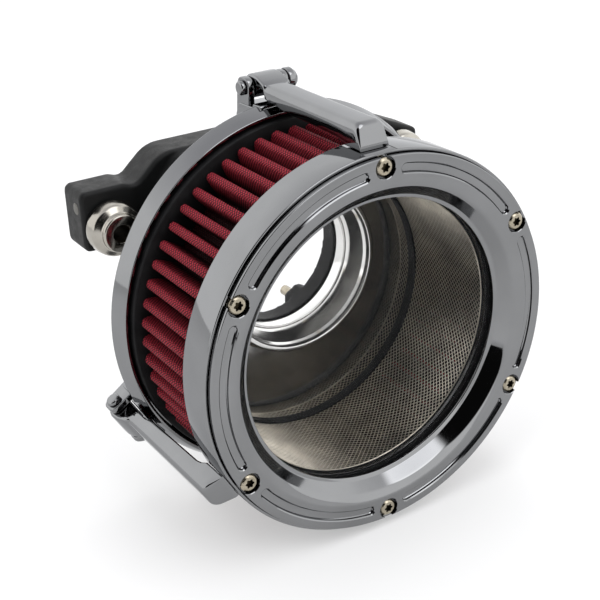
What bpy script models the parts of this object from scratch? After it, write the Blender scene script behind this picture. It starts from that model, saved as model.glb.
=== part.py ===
"""Round motorcycle air filter with a clear lens, pleated element and bracket, built as an assembly.

Metres, +Z up.  The origin is the centre of the throat on the rear mounting plane.  The front
of the filter looks along -Y, and "forward" below is the distance from the rear plane to the
front.  The filter's own axis runs along Y, below the throat's axis.
"""
import math

import bmesh
import bpy
from mathutils import Matrix

MM = 0.001

# Driving sizes of the filter housing.
OUTER_RADIUS = 85.0 * MM
HOUSING_LENGTH = 80.1 * MM
BRACKET_DEPTH = 18.0 * MM
BACKPLATE_REAR = 33.9 * MM
FRONT_FACE = BACKPLATE_REAR + HOUSING_LENGTH
THROAT_RADIUS = 31.8 * MM
FILTER_AXIS_DROP = 12.7 * MM
GAP = 0.3 * MM
FIT = 0.08 * MM

# Front cover.
COVER_DEPTH = 20.2 * MM
COVER_REAR = FRONT_FACE - COVER_DEPTH
LENS_FRONT = FRONT_FACE - 8.8 * MM
LENS_THICKNESS = 3.0 * MM
LENS_SIGHT_RADIUS = 63.1 * MM
LENS_RADIUS = LENS_SIGHT_RADIUS + 3.0 * MM
BEZEL_RADIUS = OUTER_RADIUS - 1.6 * MM
BEZEL_SEAT_RADIUS = BEZEL_RADIUS + GAP
RABBET_DEPTH = 2.4 * MM
FACE_INNER_RADIUS = 72.5 * MM
SCREW_CIRCLE = 79.1 * MM
SCREW_COUNT = 6
SCREW_HEAD_RADIUS = 3.9 * MM
SCREW_HEAD_HEIGHT = 2.2 * MM
SCREW_SHANK_RADIUS = 2.0 * MM
SCREW_LENGTH = 11.0 * MM
GROOVE_RADIUS = 77.6 * MM
GROOVE_HALF_WIDTH = 1.7 * MM
GROOVE_DEPTH = 1.6 * MM
GROOVE_CLEAR_ANGLE = math.radians(7.5)

# Filter element.
PLEAT_COUNT = 56
PLEAT_OUTER = 79.8 * MM
PLEAT_INNER = 65.5 * MM
PLEAT_CLOTH = 1.1 * MM
SCREEN_RADIUS = 63.4 * MM
SCREEN_WALL = 0.7 * MM
CAP_OUTER = 82.2 * MM
CAP_THICKNESS = 6.0 * MM
PLATE_FRONT = BACKPLATE_REAR + 4.3 * MM
BAND_START = PLATE_FRONT + 8.3 * MM
BAND_WIDTH = 5.0 * MM

# Latches.
LATCH_ANGLES = {"top": 90.0, "lower_left": 210.0, "lower_right": 330.0}
PIN_RING_RADIUS = 93.0 * MM
PIN_FORWARD = 24.0 * MM
PIN_RADIUS = 2.0 * MM
KNUCKLE_RADIUS = 5.4 * MM
ARM_HALF_WIDTH = 6.75 * MM
LUG_INNER = ARM_HALF_WIDTH + 0.45 * MM
LUG_OUTER = LUG_INNER + 3.2 * MM

# Support bracket and what bolts through it.
BOLT_SPACING = 152.0 * MM
BOLT_HEIGHT = 30.5 * MM
BOLT_SHANK_RADIUS = 6.35 * MM
HUB_RADIUS = 46.0 * MM
HUB_FRONT = BACKPLATE_REAR - 5.5 * MM
HUB_REAR = 8.0 * MM
SOCKET_RADIUS = 41.0 * MM
THROTTLE_SCREW_CIRCLE = 38.0 * MM
THROTTLE_SCREW_ANGLES = (60.0, 180.0, 300.0)
PLUG_RADIUS = 2.7 * MM

BIG = 48
MEDIUM = 36
SMALL = 14

MATERIALS = {
    "chrome": ((0.62, 0.63, 0.64, 1.0), 1.0, 0.08),
    "nickel": ((0.62, 0.59, 0.53, 1.0), 1.0, 0.16),
    "screw_steel": ((0.52, 0.48, 0.41, 1.0), 1.0, 0.30),
    "screen_steel": ((0.40, 0.38, 0.34, 1.0), 1.0, 0.35),
    "black_casting": ((0.03, 0.03, 0.03, 1.0), 0.0, 0.55),
    "black_rubber": ((0.015, 0.015, 0.015, 1.0), 0.0, 0.75),
    "red_gauze": ((0.35, 0.03, 0.05, 1.0), 0.0, 0.85),
    "clear_lens": ((0.85, 0.88, 0.88, 1.0), 0.0, 0.05),
}


def clear_scene():
    for item in list(bpy.data.objects):
        bpy.data.objects.remove(item, do_unlink=True)


def new_collection(name):
    collection = bpy.data.collections.new(name)
    bpy.context.scene.collection.children.link(collection)
    return collection


def material(name):
    found = bpy.data.materials.get(name)
    if found is not None:
        return found
    colour, metallic, roughness = MATERIALS[name]
    made = bpy.data.materials.new(name)
    made.use_nodes = True
    shader = made.node_tree.nodes["Principled BSDF"]
    shader.inputs["Base Color"].default_value = colour
    shader.inputs["Metallic"].default_value = metallic
    shader.inputs["Roughness"].default_value = roughness
    return made


clear_scene()
PARTS = new_collection("air_filter")
CUTTERS = new_collection("cutters")


def place(name, mesh, finish, parent=None):
    """Link a mesh as a named part, or as a hidden cutter when it has no finish."""
    item = bpy.data.objects.new(name, mesh)
    if finish is None:
        CUTTERS.objects.link(item)
        item.hide_render = True
        item.display_type = "WIRE"
    else:
        PARTS.objects.link(item)
        mesh.materials.append(material(finish))
    if parent is not None:
        item.parent = parent
    return item


def boolean(target, tool, operation="DIFFERENCE"):
    modifier = target.modifiers.new(operation.lower(), "BOOLEAN")
    modifier.operation = operation
    modifier.solver = "EXACT"
    modifier.object = tool


def bevel(target, width, segments=1, angle=35.0):
    modifier = target.modifiers.new("bevel", "BEVEL")
    modifier.width = width
    modifier.segments = segments
    modifier.limit_method = "ANGLE"
    modifier.angle_limit = math.radians(angle)


def shaded(mesh):
    """Shade a round mesh smooth, keeping its real corners sharp."""
    mesh.shade_smooth()
    mesh.set_sharp_from_angle(angle=math.radians(35.0))


def turned(name, profile, segments, finish, centre=(0.0, 0.0)):
    """Revolve a closed (radius, forward) profile about the Y axis through centre (x, z)."""
    shape = bmesh.new()
    corners = [shape.verts.new((radius, -forward, 0.0)) for radius, forward in profile]
    edges = []
    for i, corner in enumerate(corners):
        if max(profile[i - 1][0], profile[i][0]) > 0.0:
            edges.append(shape.edges.new((corners[i - 1], corner)))
    bmesh.ops.spin(shape, geom=corners + edges, cent=(0.0, 0.0, 0.0), axis=(0.0, 1.0, 0.0),
                   steps=segments, angle=2.0 * math.pi, use_merge=True)
    bmesh.ops.remove_doubles(shape, verts=shape.verts, dist=0.00001)
    bmesh.ops.recalc_face_normals(shape, faces=shape.faces)
    mesh = bpy.data.meshes.new(name)
    shape.to_mesh(mesh)
    shape.free()
    shaded(mesh)
    item = place(name, mesh, finish)
    item.location = (centre[0], 0.0, centre[1])
    return item


def disc(name, radius, low, high, segments, finish=None, centre=(0.0, 0.0)):
    """A solid round along Y between two forward distances."""
    shape = bmesh.new()
    bmesh.ops.create_cone(shape, cap_ends=True, segments=segments, radius1=radius,
                          radius2=radius, depth=high - low)
    turn = Matrix.Rotation(math.radians(90.0), 4, "X")
    move = Matrix.Translation((centre[0], -(low + high) / 2.0, centre[1]))
    bmesh.ops.transform(shape, matrix=move @ turn, verts=shape.verts)
    mesh = bpy.data.meshes.new(name)
    shape.to_mesh(mesh)
    shape.free()
    shaded(mesh)
    return place(name, mesh, finish)


def box(name, size, centre, finish=None, parent=None):
    shape = bmesh.new()
    bmesh.ops.create_cube(shape, size=1.0)
    scale = Matrix.Diagonal((size[0], size[1], size[2], 1.0))
    bmesh.ops.transform(shape, matrix=Matrix.Translation(centre) @ scale, verts=shape.verts)
    mesh = bpy.data.meshes.new(name)
    shape.to_mesh(mesh)
    shape.free()
    return place(name, mesh, finish, parent)


def rounded(corners, steps=2):
    """Turn (x, y, radius) corners into outline points with each corner rounded to its radius."""
    points = []
    count = len(corners)
    for i, (x, y, radius) in enumerate(corners):
        before = corners[i - 1]
        after = corners[(i + 1) % count]
        to_before = math.atan2(before[1] - y, before[0] - x)
        to_after = math.atan2(after[1] - y, after[0] - x)
        turn = (to_after - to_before + math.pi) % (2.0 * math.pi) - math.pi
        half = abs(turn) / 2.0
        if radius <= 0.0:
            points.append((x, y))
            continue
        reach = radius / math.tan(half)
        bisector = to_before + turn / 2.0
        centre_x = x + radius / math.sin(half) * math.cos(bisector)
        centre_y = y + radius / math.sin(half) * math.sin(bisector)
        first = math.atan2(y + reach * math.sin(to_before) - centre_y,
                           x + reach * math.cos(to_before) - centre_x)
        last = math.atan2(y + reach * math.sin(to_after) - centre_y,
                          x + reach * math.cos(to_after) - centre_x)
        sweep = (last - first + math.pi) % (2.0 * math.pi) - math.pi
        for step in range(steps + 1):
            angle = first + sweep * step / steps
            points.append((centre_x + radius * math.cos(angle), centre_y + radius * math.sin(angle)))
    return points


def extruded(name, outline, low, high, turn, finish, parent=None, holes=()):
    """Extrude a flat outline, with any holes, from low to high and turn it into place."""
    curve = bpy.data.curves.new(name, "CURVE")
    curve.dimensions = "2D"
    curve.fill_mode = "BOTH"
    curve.extrude = (high - low) / 2.0
    for loop in (outline, *holes):
        spline = curve.splines.new("POLY")
        spline.points.add(len(loop) - 1)
        for point, (x, y) in zip(spline.points, loop):
            point.co = (x, y, 0.0, 1.0)
        spline.use_cyclic_u = True
    drawn = bpy.data.objects.new(name + "_drawn", curve)
    PARTS.objects.link(drawn)
    bpy.context.view_layer.update()
    graph = bpy.context.evaluated_depsgraph_get()
    mesh = bpy.data.meshes.new_from_object(drawn.evaluated_get(graph))
    bpy.data.objects.remove(drawn, do_unlink=True)
    shape = bmesh.new()
    shape.from_mesh(mesh)
    bmesh.ops.remove_doubles(shape, verts=shape.verts, dist=0.000001)
    bmesh.ops.dissolve_limit(shape, angle_limit=0.001, verts=shape.verts, edges=shape.edges)
    lift = Matrix.Translation((0.0, 0.0, (high + low) / 2.0))
    bmesh.ops.transform(shape, matrix=turn @ lift, verts=shape.verts)
    bmesh.ops.recalc_face_normals(shape, faces=shape.faces)
    shape.to_mesh(mesh)
    shape.free()
    mesh.name = name
    mesh.materials.clear()
    return place(name, mesh, finish, parent)


# An outline drawn as (x, z) and extruded forward, towards -Y.
FORWARD = Matrix.Rotation(math.radians(90.0), 4, "X")
# An outline drawn as (backward, outward) and extruded across a latch.
ACROSS = Matrix(((0, 0, 1, 0), (1, 0, 0, 0), (0, 1, 0, 0), (0, 0, 0, 1)))

FILTER_CENTRE = (0.0, -FILTER_AXIS_DROP)


def around(radius, degrees, centre=(0.0, 0.0)):
    angle = math.radians(degrees)
    return centre[0] + radius * math.cos(angle), centre[1] + radius * math.sin(angle)


# ---- Latch frames: x across the latch, y backward, z outward, origin on the pin ----
LATCH_FRAMES = {}
for latch, degrees in LATCH_ANGLES.items():
    frame = bpy.data.objects.new("latch_frame_" + latch, None)
    PARTS.objects.link(frame)
    pin_x, pin_z = around(PIN_RING_RADIUS, degrees, FILTER_CENTRE)
    frame.location = (pin_x, -PIN_FORWARD, pin_z)
    frame.rotation_euler = (0.0, math.radians(90.0 - degrees), 0.0)
    LATCH_FRAMES[latch] = frame


def outward(ring_radius):
    """Height above the pin of a distance from the filter's axis."""
    return ring_radius - PIN_RING_RADIUS


def backward(forward):
    """Distance behind the pin of a forward distance."""
    return PIN_FORWARD - forward


# ---- Backplate: disc with a tapered rim, a throat collar and three hinge clevises ----
RIM_FRONT = BACKPLATE_REAR + 8.7 * MM
RIM_REAR_RADIUS = OUTER_RADIUS + 3.0 * MM
RIM_INNER = CAP_OUTER + 0.8 * MM
PLATE_START = 10.0 * MM
backplate = turned("backplate", [
    (OUTER_RADIUS, RIM_FRONT), (OUTER_RADIUS + 0.6 * MM, RIM_FRONT - 0.5 * MM),
    (RIM_REAR_RADIUS, BACKPLATE_REAR + 1.0 * MM), (RIM_REAR_RADIUS - 1.0 * MM, BACKPLATE_REAR),
    (PLATE_START, BACKPLATE_REAR), (PLATE_START, PLATE_FRONT),
    (RIM_INNER, PLATE_FRONT), (RIM_INNER, RIM_FRONT),
], BIG, "chrome", FILTER_CENTRE)
COLLAR_REAR = HUB_FRONT + GAP
COLLAR_FRONT = BACKPLATE_REAR + 1.1 * MM
COLLAR_RADIUS = SOCKET_RADIUS + 4.0 * MM
boolean(backplate, disc("collar_body", COLLAR_RADIUS, COLLAR_REAR, PLATE_FRONT - 1.0 * MM, MEDIUM), "UNION")

EAR_REAR = backward(BACKPLATE_REAR - 19.0 * MM)
EAR_FRONT = backward(BACKPLATE_REAR + 2.5 * MM)
EAR_BASE = outward(75.0 * MM)
EAR_SHELF = outward(OUTER_RADIUS + 0.5 * MM)
LUG_TOP_RADIUS = 4.4 * MM
for latch, frame in LATCH_FRAMES.items():
    base = extruded("ear_base_" + latch, rounded([
        (EAR_FRONT, EAR_BASE, 0.0), (EAR_REAR, EAR_BASE, 3.0 * MM),
        (EAR_REAR - 5.0 * MM, EAR_SHELF, 2.0 * MM), (EAR_FRONT, EAR_SHELF, 0.0),
    ]), -LUG_OUTER - 0.5 * MM, LUG_OUTER + 0.5 * MM, ACROSS, None, frame)
    boolean(backplate, base, "UNION")
    for side in (-1.0, 1.0):
        lug = extruded("lug_%s_%d" % (latch, side), rounded([
            (-LUG_TOP_RADIUS, EAR_BASE + 2.0 * MM, 0.0), (EAR_REAR - 1.5 * MM, EAR_BASE + 2.0 * MM, 0.0),
            (LUG_TOP_RADIUS, LUG_TOP_RADIUS, 3.4 * MM), (-LUG_TOP_RADIUS, LUG_TOP_RADIUS, 3.4 * MM),
        ]), min(side * LUG_INNER, side * LUG_OUTER), max(side * LUG_INNER, side * LUG_OUTER),
            ACROSS, None, frame)
        boolean(backplate, lug, "UNION")
    hole = disc("pin_hole_" + latch, PIN_RADIUS + FIT, -20.0 * MM, 20.0 * MM, SMALL)
    hole.data.transform(Matrix.Rotation(math.radians(90.0), 4, "Z"))
    hole.parent = frame
    boolean(backplate, hole)

STACK_SEAT_RADIUS = 42.6 * MM
COLLAR_BORE = THROAT_RADIUS + 0.6 * MM
boolean(backplate, turned("throat_cut", [
    (STACK_SEAT_RADIUS, FRONT_FACE), (STACK_SEAT_RADIUS, COLLAR_FRONT),
    (COLLAR_BORE, COLLAR_FRONT), (COLLAR_BORE, 0.0), (0.0, 0.0), (0.0, FRONT_FACE),
], MEDIUM, None))
COLLAR_HEAD_SEAT = COLLAR_FRONT - 3.5 * MM
HEAD_POCKET_RADIUS = 4.0 * MM
SCREW_WAY_RADIUS = 2.8 * MM
for number, degrees in enumerate(THROTTLE_SCREW_ANGLES, 1):
    spot = around(THROTTLE_SCREW_CIRCLE, degrees)
    boolean(backplate, disc("head_pocket_%d" % number, HEAD_POCKET_RADIUS, COLLAR_HEAD_SEAT, FRONT_FACE,
                            SMALL, None, spot))
    boolean(backplate, disc("screw_way_%d" % number, SCREW_WAY_RADIUS, 0.0, FRONT_FACE, SMALL, None, spot))

# ---- Bell mouth that leads the air into the throat ----
LIP_RADIUS = 40.0 * MM
LIP_FRONT = PLATE_FRONT + 10.6 * MM
STACK_BORE = THROAT_RADIUS + 1.4 * MM
STACK_REAR = COLLAR_FRONT + GAP
LIP_ROLL = 1.7 * MM
turned("velocity_stack", [
    (LIP_RADIUS - LIP_ROLL, LIP_FRONT), (LIP_RADIUS, LIP_FRONT - 0.5 * LIP_ROLL),
    (LIP_RADIUS, LIP_FRONT - 1.6 * LIP_ROLL), (LIP_RADIUS - 1.2 * MM, LIP_FRONT - 2.2 * LIP_ROLL),
    (LIP_RADIUS - 1.6 * MM, PLATE_FRONT + 2.2 * MM), (STACK_SEAT_RADIUS - GAP, PLATE_FRONT + 1.2 * MM),
    (STACK_SEAT_RADIUS - GAP, STACK_REAR), (STACK_BORE, STACK_REAR),
    (STACK_BORE + 1.0 * MM, PLATE_FRONT), (STACK_BORE + 2.3 * MM, PLATE_FRONT + 4.6 * MM),
    (STACK_BORE + 3.6 * MM, PLATE_FRONT + 8.6 * MM),
    (LIP_RADIUS - 2.0 * LIP_ROLL, LIP_FRONT - 0.6 * LIP_ROLL),
], MEDIUM, "chrome")

# ---- Support bracket: arched casting with a hub, a socket and two bolt blocks ----
BLOCK_END = BOLT_SPACING / 2.0 + 12.5 * MM
arch = rounded([
    (-BLOCK_END, 20.5 * MM, 3.0 * MM), (-BLOCK_END, 47.5 * MM, 3.0 * MM),
    (-68.0 * MM, 47.0 * MM, 3.0 * MM), (-62.5 * MM, 45.6 * MM, 5.0 * MM),
    (-49.0 * MM, 57.5 * MM, 12.0 * MM), (43.0 * MM, 57.5 * MM, 12.0 * MM),
    (60.5 * MM, 42.5 * MM, 5.0 * MM), (70.0 * MM, 48.5 * MM, 3.0 * MM),
    (BLOCK_END, 40.5 * MM, 3.0 * MM), (BLOCK_END, 20.5 * MM, 3.0 * MM),
    (63.0 * MM, 19.6 * MM, 6.0 * MM), (50.0 * MM, 4.0 * MM, 8.0 * MM),
    (-50.0 * MM, 4.0 * MM, 8.0 * MM), (-63.0 * MM, 20.0 * MM, 6.0 * MM),
])
bracket = extruded("support_bracket", arch, 0.0, BRACKET_DEPTH, FORWARD, "black_casting")
saddle = rounded([
    (-58.0 * MM, 36.0 * MM, 8.0 * MM), (-42.0 * MM, 56.5 * MM, 12.0 * MM),
    (42.0 * MM, 56.5 * MM, 12.0 * MM), (58.0 * MM, 36.0 * MM, 8.0 * MM),
    (36.0 * MM, -30.0 * MM, 12.0 * MM), (-36.0 * MM, -30.0 * MM, 12.0 * MM),
])
boolean(bracket, extruded("saddle", saddle, BRACKET_DEPTH - 2.0 * MM, HUB_FRONT, FORWARD, None), "UNION")
boolean(bracket, disc("hub", HUB_RADIUS, HUB_REAR, HUB_FRONT - 0.1 * MM, MEDIUM), "UNION")
boolean(bracket, disc("socket", SOCKET_RADIUS, -5.0 * MM, BRACKET_DEPTH, MEDIUM))
BOSS_REAR = BRACKET_DEPTH - 6.0 * MM
BOSS_RADIUS = 7.0 * MM
for number, degrees in enumerate(THROTTLE_SCREW_ANGLES, 1):
    spot = around(THROTTLE_SCREW_CIRCLE, degrees)
    boss = disc("screw_boss_%d" % number, BOSS_RADIUS, BOSS_REAR, HUB_FRONT - 1.0 * MM, SMALL, None, spot)
    boolean(bracket, boss, "UNION")
boolean(bracket, disc("throat_bore", THROAT_RADIUS, BRACKET_DEPTH - 0.4 * MM, FRONT_FACE, MEDIUM))
for number, degrees in enumerate(THROTTLE_SCREW_ANGLES, 1):
    spot = around(THROTTLE_SCREW_CIRCLE, degrees)
    boolean(bracket, disc("boss_way_%d" % number, SCREW_WAY_RADIUS, -5.0 * MM, FRONT_FACE, SMALL, None, spot))
PLUG_HEIGHT = 39.4 * MM
PLUG_FORWARD = 12.4 * MM
PLUG_DEPTH = 6.0 * MM
for name, side in (("left", -1.0), ("right", 1.0)):
    spot = (side * BOLT_SPACING / 2.0, BOLT_HEIGHT)
    bolt_way = disc("bolt_way_" + name, BOLT_SHANK_RADIUS + GAP, -5.0 * MM, FRONT_FACE, SMALL, None, spot)
    boolean(bracket, bolt_way)
    pocket = disc("plug_pocket_" + name, PLUG_RADIUS + FIT, -PLUG_DEPTH, PLUG_DEPTH, SMALL)
    pocket.data.transform(Matrix.Rotation(math.radians(90.0), 4, "Z"))
    plug_height = PLUG_HEIGHT if side < 0.0 else PLUG_HEIGHT - 7.0 * MM
    pocket.location = (side * BLOCK_END, -PLUG_FORWARD, plug_height)
    boolean(bracket, pocket)
    plug = disc("passage_plug_" + name, PLUG_RADIUS, -PLUG_DEPTH / 2.0, PLUG_DEPTH / 2.0, SMALL,
                "screw_steel")
    plug.data.transform(Matrix.Rotation(math.radians(90.0), 4, "Z"))
    plug.location = (side * (BLOCK_END - PLUG_DEPTH / 2.0 - 0.1 * MM + GAP), -PLUG_FORWARD, plug_height)

# ---- Breather bolts with their sealing washers ----
WASHER_THICKNESS = 1.2 * MM
WASHER_OUTER = 11.4 * MM
WASHER_INNER = 6.8 * MM
FLANGE_RADIUS = 12.2 * MM
HEAD_RADIUS = 8.3 * MM
HEAD_FRONT = BRACKET_DEPTH + 12.0 * MM
BREATHER_BORE = 4.0 * MM
THREAD_REACH = 12.0 * MM
washer_rear = BRACKET_DEPTH + GAP / 3.0
flange_rear = washer_rear + WASHER_THICKNESS + GAP / 3.0
for name, side in (("left", -1.0), ("right", 1.0)):
    spot = (side * BOLT_SPACING / 2.0, BOLT_HEIGHT)
    turned("breather_washer_" + name, [
        (WASHER_OUTER, washer_rear + WASHER_THICKNESS), (WASHER_OUTER, washer_rear),
        (WASHER_INNER, washer_rear), (WASHER_INNER, washer_rear + WASHER_THICKNESS),
    ], 24, "black_rubber", spot)
    turned("breather_bolt_" + name, [
        (HEAD_RADIUS - 0.6 * MM, HEAD_FRONT), (HEAD_RADIUS, HEAD_FRONT - 0.6 * MM),
        (HEAD_RADIUS, HEAD_FRONT - 2.6 * MM), (HEAD_RADIUS + 2.4 * MM, HEAD_FRONT - 5.6 * MM),
        (FLANGE_RADIUS, flange_rear + 2.6 * MM), (FLANGE_RADIUS, flange_rear),
        (BOLT_SHANK_RADIUS, flange_rear), (BOLT_SHANK_RADIUS, -THREAD_REACH + 1.0 * MM),
        (BOLT_SHANK_RADIUS - 1.0 * MM, -THREAD_REACH), (BREATHER_BORE, -THREAD_REACH),
        (BREATHER_BORE, HEAD_FRONT),
    ], 24, "nickel", spot)

# ---- The three screws that hold the collar to the throttle body ----
SCREW_TIP = 1.0 * MM
for number, degrees in enumerate(THROTTLE_SCREW_ANGLES, 1):
    spot = around(THROTTLE_SCREW_CIRCLE, degrees)
    turned("throttle_screw_%d" % number, [
        (3.4 * MM, COLLAR_FRONT - 0.1 * MM), (3.8 * MM, COLLAR_FRONT - 0.5 * MM),
        (3.8 * MM, COLLAR_HEAD_SEAT + 0.1 * MM), (2.5 * MM, COLLAR_HEAD_SEAT + 0.1 * MM),
        (2.5 * MM, SCREW_TIP + 0.6 * MM), (1.9 * MM, SCREW_TIP), (0.0, SCREW_TIP),
        (0.0, COLLAR_FRONT - 2.2 * MM), (1.8 * MM, COLLAR_FRONT - 2.2 * MM),
        (1.8 * MM, COLLAR_FRONT - 0.1 * MM),
    ], 12, "screw_steel", spot)

# ---- Front cover: body ring, gasket, lens and bezel, held by six screws ----
LENS_REAR = LENS_FRONT - LENS_THICKNESS
GASKET_THICKNESS = 1.4 * MM
GASKET_REAR = LENS_REAR - GASKET_THICKNESS - 2.0 * GAP
CAP_POCKET = CAP_OUTER + GAP
COVER_CAP_SEAT = COVER_REAR + 4.6 * MM
cover = turned("front_cover", [
    (OUTER_RADIUS, FRONT_FACE - RABBET_DEPTH), (OUTER_RADIUS, COVER_REAR + 0.4 * MM),
    (OUTER_RADIUS - 0.4 * MM, COVER_REAR), (CAP_POCKET, COVER_REAR), (CAP_POCKET, COVER_CAP_SEAT),
    (LENS_SIGHT_RADIUS + 1.0 * MM, COVER_CAP_SEAT), (LENS_SIGHT_RADIUS + 1.0 * MM, GASKET_REAR),
    (LENS_RADIUS + 1.6 * MM, GASKET_REAR), (LENS_RADIUS + 1.6 * MM, LENS_FRONT),
    (BEZEL_SEAT_RADIUS, LENS_FRONT), (BEZEL_SEAT_RADIUS, FRONT_FACE - RABBET_DEPTH),
], BIG, "chrome", FILTER_CENTRE)
turned("lens_gasket", [
    (LENS_RADIUS + 1.3 * MM, LENS_REAR - GAP), (LENS_RADIUS + 1.3 * MM, GASKET_REAR + GAP),
    (LENS_SIGHT_RADIUS + 1.2 * MM, GASKET_REAR + GAP), (LENS_SIGHT_RADIUS + 1.2 * MM, LENS_REAR - GAP),
], BIG, "black_rubber", FILTER_CENTRE)
disc("lens", LENS_RADIUS, LENS_REAR, LENS_FRONT, BIG, "clear_lens", FILTER_CENTRE)
BEZEL_REAR = LENS_FRONT + GAP
bezel = turned("bezel_ring", [
    (BEZEL_RADIUS - 0.3 * MM, FRONT_FACE), (BEZEL_RADIUS, FRONT_FACE - 0.3 * MM),
    (BEZEL_RADIUS, BEZEL_REAR), (LENS_SIGHT_RADIUS, BEZEL_REAR),
    (LENS_SIGHT_RADIUS, BEZEL_REAR + 0.8 * MM), (LENS_SIGHT_RADIUS + 1.4 * MM, BEZEL_REAR + 1.6 * MM),
    (LENS_SIGHT_RADIUS + 3.6 * MM, BEZEL_REAR + 4.0 * MM),
    (LENS_SIGHT_RADIUS + 6.4 * MM, FRONT_FACE - 1.4 * MM),
    (FACE_INNER_RADIUS, FRONT_FACE),
], BIG, "chrome", FILTER_CENTRE)

SCREW_FRONT = FRONT_FACE - 0.3 * MM
SCREW_SEAT = SCREW_FRONT - SCREW_HEAD_HEIGHT
COUNTERBORE_RADIUS = SCREW_HEAD_RADIUS + 0.45 * MM
for number in range(SCREW_COUNT):
    degrees = 30.0 + 360.0 / SCREW_COUNT * number
    spot = around(SCREW_CIRCLE, degrees, FILTER_CENTRE)
    name = "%d" % (number + 1)
    boolean(bezel, disc("counterbore_" + name, COUNTERBORE_RADIUS, SCREW_SEAT, FRONT_FACE + 5.0 * MM, SMALL,
                        None, spot))
    way = disc("screw_hole_" + name, SCREW_SHANK_RADIUS + GAP, SCREW_SEAT - SCREW_LENGTH, FRONT_FACE, SMALL,
               None, spot)
    boolean(bezel, way)
    boolean(cover, way)
    turned("bezel_screw_" + name, [
        (SCREW_HEAD_RADIUS - 0.7 * MM, SCREW_FRONT), (SCREW_HEAD_RADIUS, SCREW_FRONT - 0.6 * MM),
        (SCREW_HEAD_RADIUS, SCREW_SEAT + 0.1 * MM), (SCREW_SHANK_RADIUS, SCREW_SEAT + 0.1 * MM),
        (SCREW_SHANK_RADIUS, SCREW_SEAT - SCREW_LENGTH + 1.0 * MM),
        (0.0, SCREW_SEAT - SCREW_LENGTH + 1.0 * MM),
        (0.0, SCREW_FRONT - 1.5 * MM), (1.6 * MM, SCREW_FRONT - 1.5 * MM), (1.6 * MM, SCREW_FRONT),
    ], 12, "screw_steel", spot)


def arc_slot(name, half_width, start, end, low, high):
    """A slot on the groove circle, bent around the filter's axis, with rounded ends."""
    steps = 6
    outline = []
    sides = ((GROOVE_RADIUS + half_width, start, end), (GROOVE_RADIUS - half_width, end, start))
    for radius, first, last in sides:
        for step in range(steps + 1):
            angle = math.degrees(first + (last - first) * step / steps)
            outline.append(around(radius, angle, FILTER_CENTRE))
        end_centre = around(GROOVE_RADIUS, math.degrees(last), FILTER_CENTRE)
        heading = math.degrees(last) + (0.0 if radius > GROOVE_RADIUS else 180.0)
        outline.append(around(half_width, heading + 60.0, end_centre))
        outline.append(around(half_width, heading + 120.0, end_centre))
    return extruded(name, outline, low, high, FORWARD, None)


for number in range(SCREW_COUNT):
    start = math.radians(30.0 + 60.0 * number) + GROOVE_CLEAR_ANGLE
    end = math.radians(90.0 + 60.0 * number) - GROOVE_CLEAR_ANGLE
    boolean(bezel, arc_slot("face_groove_%d" % (number + 1), GROOVE_HALF_WIDTH, start, end,
                            FRONT_FACE - GROOVE_DEPTH, FRONT_FACE + 2.0 * MM))

# ---- Filter element: pleated gauze between two rubber caps, with an inner screen ----
CAP_REAR_FRONT = PLATE_FRONT + GAP + CAP_THICKNESS
CAP_FRONT_REAR = COVER_CAP_SEAT - GAP - CAP_THICKNESS
CAP_INNER = SCREEN_RADIUS + GAP
for name, low in (("rear", PLATE_FRONT + GAP), ("front", CAP_FRONT_REAR)):
    high = low + CAP_THICKNESS
    turned("filter_cap_" + name, [
        (CAP_OUTER - 0.8 * MM, high), (CAP_OUTER, high - 0.8 * MM), (CAP_OUTER, low + 0.8 * MM),
        (CAP_OUTER - 0.8 * MM, low), (CAP_INNER, low), (CAP_INNER, high),
    ], BIG, "black_rubber", FILTER_CENTRE)

SCREEN_INNER = SCREEN_RADIUS - SCREEN_WALL
SCREEN_FRONT = COVER_CAP_SEAT - GAP
turned("filter_screen", [
    (SCREEN_RADIUS, SCREEN_FRONT), (SCREEN_RADIUS, PLATE_FRONT + GAP),
    (SCREEN_INNER, PLATE_FRONT + GAP), (SCREEN_INNER, SCREEN_FRONT),
], BIG, "screen_steel", FILTER_CENTRE)
BAND_RADIUS = SCREEN_INNER - GAP
turned("screen_band", [
    (BAND_RADIUS, BAND_START + BAND_WIDTH), (BAND_RADIUS, BAND_START),
    (BAND_RADIUS - 0.9 * MM, BAND_START + 0.4 * MM),
    (BAND_RADIUS - 0.9 * MM, BAND_START + BAND_WIDTH - 0.4 * MM),
], BIG, "black_rubber", FILTER_CENTRE)


def pleat_loop(depth_in, depth_out, ridge_share, valley_share):
    """Closed zigzag outline around the filter's axis with flat-topped ridges and valleys."""
    pitch = 2.0 * math.pi / PLEAT_COUNT
    points = []
    for pleat in range(PLEAT_COUNT):
        middle = math.pi / 2.0 + pitch * pleat
        for radius, shift in ((depth_in, -0.5 + valley_share), (depth_out, -ridge_share),
                              (depth_out, ridge_share), (depth_in, 0.5 - valley_share)):
            angle = middle + shift * pitch
            points.append((radius * math.cos(angle), radius * math.sin(angle)))
    return points


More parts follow.
